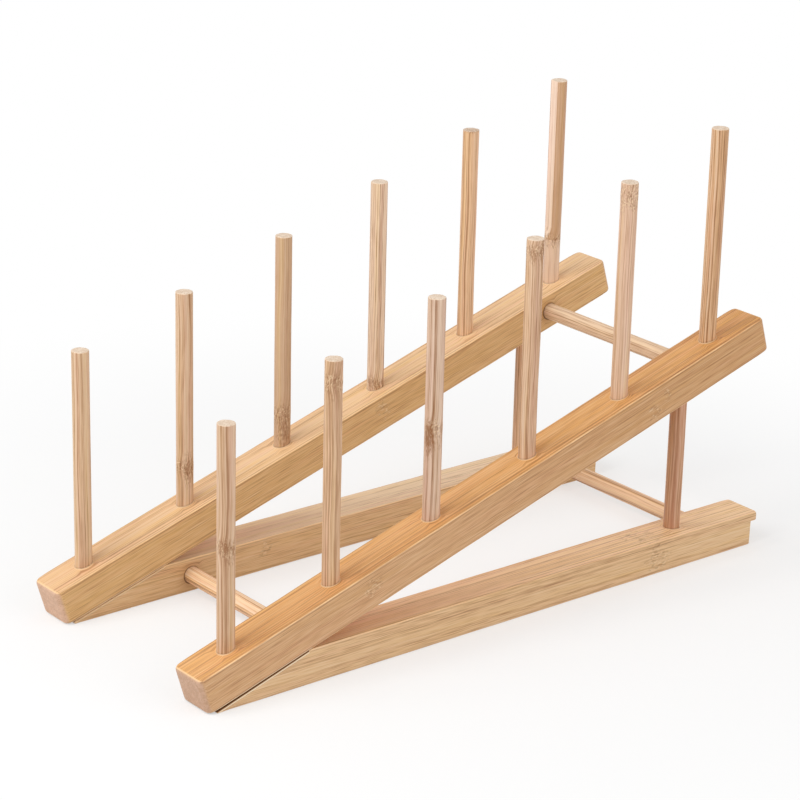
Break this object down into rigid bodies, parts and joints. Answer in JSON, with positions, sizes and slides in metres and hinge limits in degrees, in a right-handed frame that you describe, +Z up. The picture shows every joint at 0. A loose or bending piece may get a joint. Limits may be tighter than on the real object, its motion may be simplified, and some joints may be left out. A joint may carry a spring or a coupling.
{
  "type": "plate rack",
  "caption": "Countertop bamboo plate rack: paired sloped rails on flat base rails, with rows of upright pegs that hold plates on edge.",
  "frame": {"origin": "on the table, under the middle of the rack's length and width", "axes": "+X from the low end to the high end, +Y to the left as seen from the low end, +Z up"},
  "size_m": [0.3298, 0.132, 0.2108],
  "materials": {
    "rail_bamboo": "satin bamboo, straight grain",
    "dowel_bamboo": "satin bamboo dowel, streaked",
    "screw_steel": "zinc plated"
  },
  "bodies": {
    "root": {"left_sloped_rail": "rail_bamboo", "left_base_rail": "rail_bamboo", "right_sloped_rail": "rail_bamboo", "right_base_rail": "rail_bamboo", "left_rear_post": "dowel_bamboo", "right_rear_post": "dowel_bamboo", "front_cross_dowel": "dowel_bamboo", "rear_lower_cross_dowel": "dowel_bamboo", "rear_upper_cross_dowel": "dowel_bamboo", "left_peg_1": "dowel_bamboo", "left_peg_2": "dowel_bamboo", "left_peg_3": "dowel_bamboo", "left_peg_4": "dowel_bamboo", "left_peg_5": "dowel_bamboo", "left_peg_6": "dowel_bamboo", "right_peg_1": "dowel_bamboo", "right_peg_2": "dowel_bamboo", "right_peg_3": "dowel_bamboo", "right_peg_4": "dowel_bamboo", "right_peg_5": "dowel_bamboo", "right_peg_6": "dowel_bamboo", "wedge_screws": "screw_steel"}
  },
  "joints": []
}
